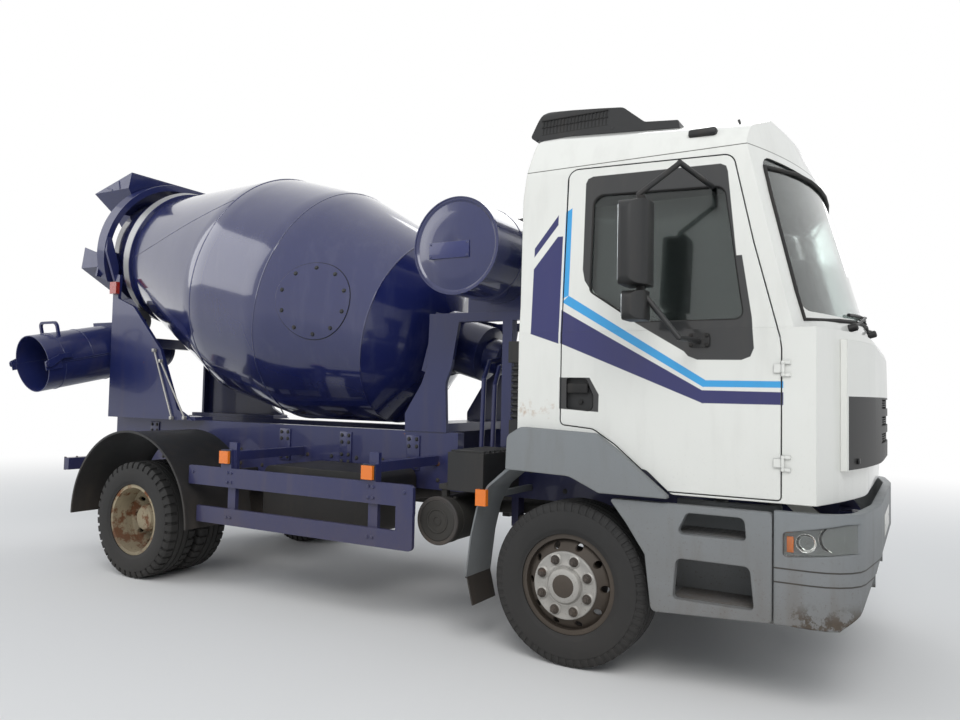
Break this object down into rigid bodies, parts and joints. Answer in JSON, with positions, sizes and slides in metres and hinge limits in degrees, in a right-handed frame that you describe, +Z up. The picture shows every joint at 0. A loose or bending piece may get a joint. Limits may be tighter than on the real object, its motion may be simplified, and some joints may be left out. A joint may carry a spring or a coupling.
{
  "type": "concrete mixer truck",
  "caption": "Cab-over concrete mixer truck with a tilted drum, a water tank behind the cab, a feed hopper and a swivelling fold-over chute.",
  "frame": {"origin": "the middle of the truck's bounding box, on the ground", "axes": "+X to the truck's front, +Y to its left, +Z up"},
  "size_m": [6.6483, 3.08, 3.38],
  "materials": {
    "navy_paint": "gloss",
    "white_paint": "gloss",
    "chassis_black": "satin",
    "rusty_metal": "matte",
    "cream_rim": "satin",
    "grey_plastic": "matte",
    "black_plastic": "matte",
    "amber_plastic": "gloss",
    "tyre_rubber": "matte",
    "roller_steel": "satin",
    "window_glass": "gloss",
    "seat_cloth": "matte"
  },
  "bodies": {
    "chassis": {"frame": "navy_paint", "axles": "chassis_black", "leaf_springs": "chassis_black", "powertrain": "chassis_black", "tanks": "chassis_black", "silencer": "rusty_metal", "bumper": "grey_plastic", "lamps": "amber_plastic", "cab_steps": "grey_plastic", "side_guards": "navy_paint", "mudguards": "black_plastic", "front_pedestal": "navy_paint", "rear_pedestal": "navy_paint", "drum_drive": "chassis_black", "water_tank": "navy_paint", "hopper": "navy_paint"},
    "roller_right": {"roller_right": "roller_steel"},
    "roller_left": {"roller_left": "roller_steel"},
    "knuckle_right": {"knuckle_right": "chassis_black"},
    "knuckle_left": {"knuckle_left": "chassis_black"},
    "track_rod": {"track_rod": "chassis_black"},
    "wheel_front_right": {"rim_front_right": "rusty_metal", "tyre_front_right": "tyre_rubber"},
    "wheel_front_left": {"rim_front_left": "rusty_metal", "tyre_front_left": "tyre_rubber"},
    "wheels_rear_right": {"rims_rear_right": "cream_rim", "tyres_rear_right": "tyre_rubber"},
    "wheels_rear_left": {"rims_rear_left": "cream_rim", "tyres_rear_left": "tyre_rubber"},
    "cab": {"cab_shell": "white_paint", "cab_glass": "window_glass", "cab_fenders": "grey_plastic", "dashboard": "grey_plastic", "seats": "seat_cloth", "roof_unit": "black_plastic"},
    "front_lid": {"front_lid": "white_paint"},
    "door_right": {"door_right": "white_paint", "door_glass_right": "window_glass", "mirror_right": "black_plastic"},
    "door_left": {"door_left": "white_paint", "door_glass_left": "window_glass", "mirror_left": "black_plastic"},
    "drum": {"drum": "navy_paint"},
    "chute_swivel": {"chute_swivel": "navy_paint"},
    "chute_main": {"chute_main": "navy_paint"},
    "chute_extension": {"chute_extension": "navy_paint"}
  },
  "joints": [
    {"name": "steer_right", "type": "hinge", "parent": "chassis", "child": "knuckle_right", "pos_m": [1.87781, -0.862, 0.43], "axis": [0, 0, 1], "range_deg": [-38, 38]},
    {"name": "steer_left", "type": "hinge", "parent": "chassis", "child": "knuckle_left", "pos_m": [1.87781, 0.862, 0.43], "axis": [0, 0, 1], "range_deg": [-38, 38]},
    {"name": "track_rod_turn", "type": "hinge", "parent": "knuckle_right", "child": "track_rod", "pos_m": [1.72781, -0.862, 0.32], "axis": [0, 0, 1], "range_deg": [-38, 38]},
    {"name": "spin_front_right", "type": "hinge", "parent": "knuckle_right", "child": "wheel_front_right", "pos_m": [1.87781, -1.1, 0.43], "axis": [0, 1, 0], "continuous": true},
    {"name": "spin_front_left", "type": "hinge", "parent": "knuckle_left", "child": "wheel_front_left", "pos_m": [1.87781, 1.1, 0.43], "axis": [0, 1, 0], "continuous": true},
    {"name": "spin_rear_right", "type": "hinge", "parent": "chassis", "child": "wheels_rear_right", "pos_m": [-1.60219, -1.15, 0.43], "axis": [0, 1, 0], "continuous": true},
    {"name": "spin_rear_left", "type": "hinge", "parent": "chassis", "child": "wheels_rear_left", "pos_m": [-1.60219, 1.15, 0.43], "axis": [0, 1, 0], "continuous": true},
    {"name": "cab_tilt", "type": "hinge", "parent": "chassis", "child": "cab", "pos_m": [3.23781, 0, 0.6], "axis": [0, -1, 0], "range_deg": [-45, 0]},
    {"name": "lid_lift", "type": "hinge", "parent": "cab", "child": "front_lid", "pos_m": [3.28581, 0, 1.706], "axis": [0, -1, 0], "range_deg": [0, 60]},
    {"name": "door_right_swing", "type": "hinge", "parent": "cab", "child": "door_right", "pos_m": [2.94681, -1.139, 1.3], "axis": [0, 0, 1], "range_deg": [0, 70]},
    {"name": "door_left_swing", "type": "hinge", "parent": "cab", "child": "door_left", "pos_m": [2.94681, 1.139, 1.3], "axis": [0, 0, -1], "range_deg": [0, 70]},
    {"name": "drum_spin", "type": "hinge", "parent": "chassis", "child": "drum", "pos_m": [0.37781, 0, 1.813], "axis": [-0.9636, 0, 0.2672], "continuous": true},
    {"name": "roller_right_spin", "type": "hinge", "parent": "chassis", "child": "roller_right", "pos_m": [-2.68176, -0.39442, 2.00647], "axis": [-0.9636, 0, 0.2672], "continuous": true},
    {"name": "roller_left_spin", "type": "hinge", "parent": "chassis", "child": "roller_left", "pos_m": [-2.68176, 0.39442, 2.00647], "axis": [-0.9636, 0, 0.2672], "continuous": true},
    {"name": "chute_swing", "type": "hinge", "parent": "chassis", "child": "chute_swivel", "pos_m": [-3.05181, 0, 1.1], "axis": [0, 0, -1], "range_deg": [0, 175]},
    {"name": "chute_tilt", "type": "hinge", "parent": "chute_swivel", "child": "chute_main", "pos_m": [-3.05181, 0, 1.52], "axis": [-1, 0, 0], "range_deg": [-25, 4]},
    {"name": "chute_fold", "type": "hinge", "parent": "chute_main", "child": "chute_extension", "pos_m": [-3.05181, -1.11095, 1.59056], "axis": [1, 0, 0], "range_deg": [0, 180]}
  ],
  "couplings": [
    {"joint": "steer_left", "follows": "steer_right", "ratio": 1},
    {"joint": "track_rod_turn", "follows": "steer_right", "ratio": -1},
    {"joint": "roller_right_spin", "follows": "drum_spin", "ratio": -5.0984},
    {"joint": "roller_left_spin", "follows": "drum_spin", "ratio": -5.0984}
  ]
}
